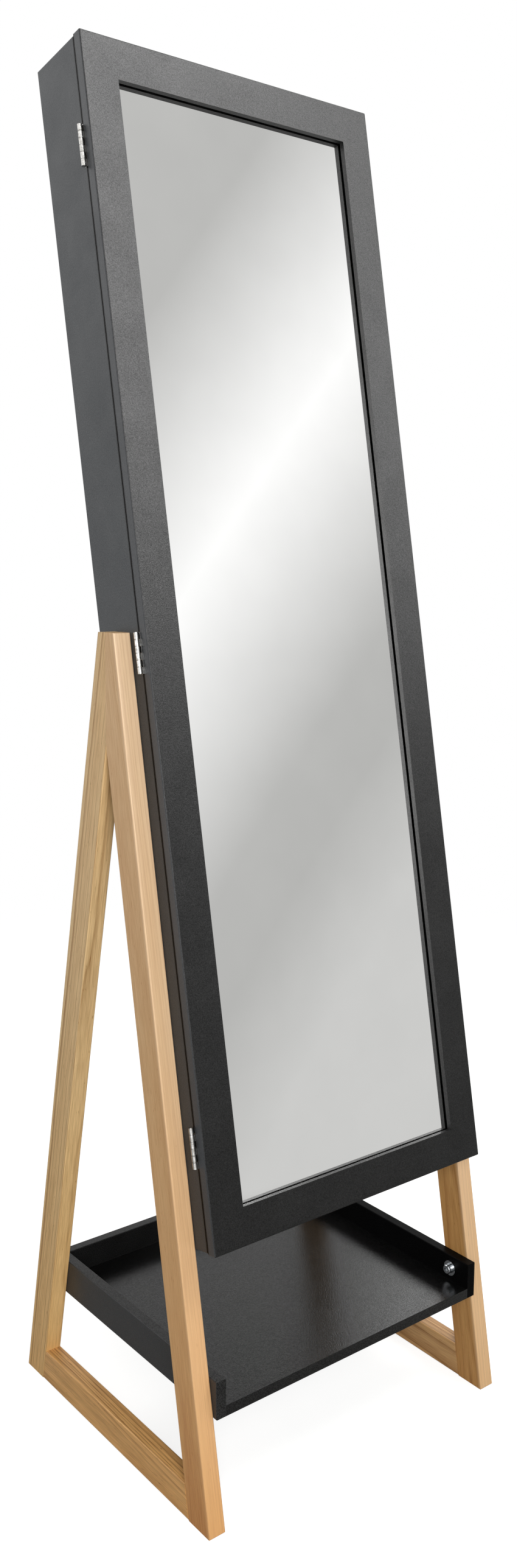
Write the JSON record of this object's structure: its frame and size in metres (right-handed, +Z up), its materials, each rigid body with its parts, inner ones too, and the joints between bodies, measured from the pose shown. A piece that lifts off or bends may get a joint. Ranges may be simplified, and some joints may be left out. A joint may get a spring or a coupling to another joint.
{
  "type": "jewelry cabinet",
  "caption": "Tall black mirror-door jewelry cabinet that leans back between two wooden A-frames, with an open tray above the floor and shelves, rods and pegs inside.",
  "frame": {"origin": "on the floor, in the middle of the footprint of the two side frames", "axes": "+Z up, -Y towards the person who looks in the mirror, +X to that person's right; the door's hinges are on the -X side"},
  "size_m": [0.418, 0.3883, 1.5002],
  "materials": {
    "pine": "clear satin lacquer on pale softwood",
    "black_paint": "satin black paint on board",
    "mirror": "silvered glass",
    "hardboard": "plain hardboard",
    "nickel": "polished nickel plate",
    "bright_steel": "bright zinc plate",
    "zinc": "zinc plate",
    "dowel_wood": "bare beech",
    "black_plastic": "moulded, matte",
    "bumper_rubber": "soft, matte",
    "velvet": "short black velvet pile"
  },
  "bodies": {
    "stand": {"back_screws": "bright_steel", "carcass_back": "black_paint", "carcass_bottom": "black_paint", "carcass_dowels": "dowel_wood", "carcass_hinge_screws": "nickel", "carcass_left_side": "black_paint", "carcass_right_side": "black_paint", "carcass_top": "black_paint", "catch_magnet": "bright_steel", "catch_screws": "bright_steel", "earring_rods": "nickel", "frame_bolts": "bright_steel", "frame_dowels": "dowel_wood", "frame_inserts": "zinc", "frame_spring_washers": "bright_steel", "frame_washers": "bright_steel", "guard_rods": "nickel", "hinge_carcass_leaves": "nickel", "hook_rail": "black_paint", "left_foot_rail": "pine", "left_front_leg": "pine", "left_rear_leg": "pine", "lower_shelf": "black_paint", "magnet_catch": "black_plastic", "necklace_pegs": "nickel", "right_foot_rail": "pine", "right_front_leg": "pine", "right_rear_leg": "pine", "ring_cushion": "velvet", "shelf_pins": "bright_steel", "tray_back_wall": "black_paint", "tray_bolts": "bright_steel", "tray_dowels": "dowel_wood", "tray_floor": "black_paint", "tray_inserts": "zinc", "tray_left_wall": "black_paint", "tray_right_wall": "black_paint", "tray_spring_washers": "bright_steel", "tray_washers": "bright_steel", "upper_shelf": "black_paint"},
    "door": {"door_left_stile": "black_paint", "door_right_stile": "black_paint", "door_top_rail": "black_paint", "door_bottom_rail": "black_paint", "door_dowels": "dowel_wood", "mirror_glass": "mirror", "mirror_backing": "hardboard", "mirror_clips": "bright_steel", "clip_screws": "bright_steel", "hinge_door_leaves": "nickel", "hinge_pins": "nickel", "door_hinge_screws": "nickel", "strike_plate": "bright_steel", "strike_screw": "bright_steel", "door_bumpers": "bumper_rubber"}
  },
  "joints": [
    {"name": "door_hinge", "type": "hinge", "parent": "stand", "child": "door", "pos_m": [-0.1933, -0.05216, 0.89457], "axis": [0, -0.1848, -0.9828], "range_deg": [0, 180]}
  ]
}
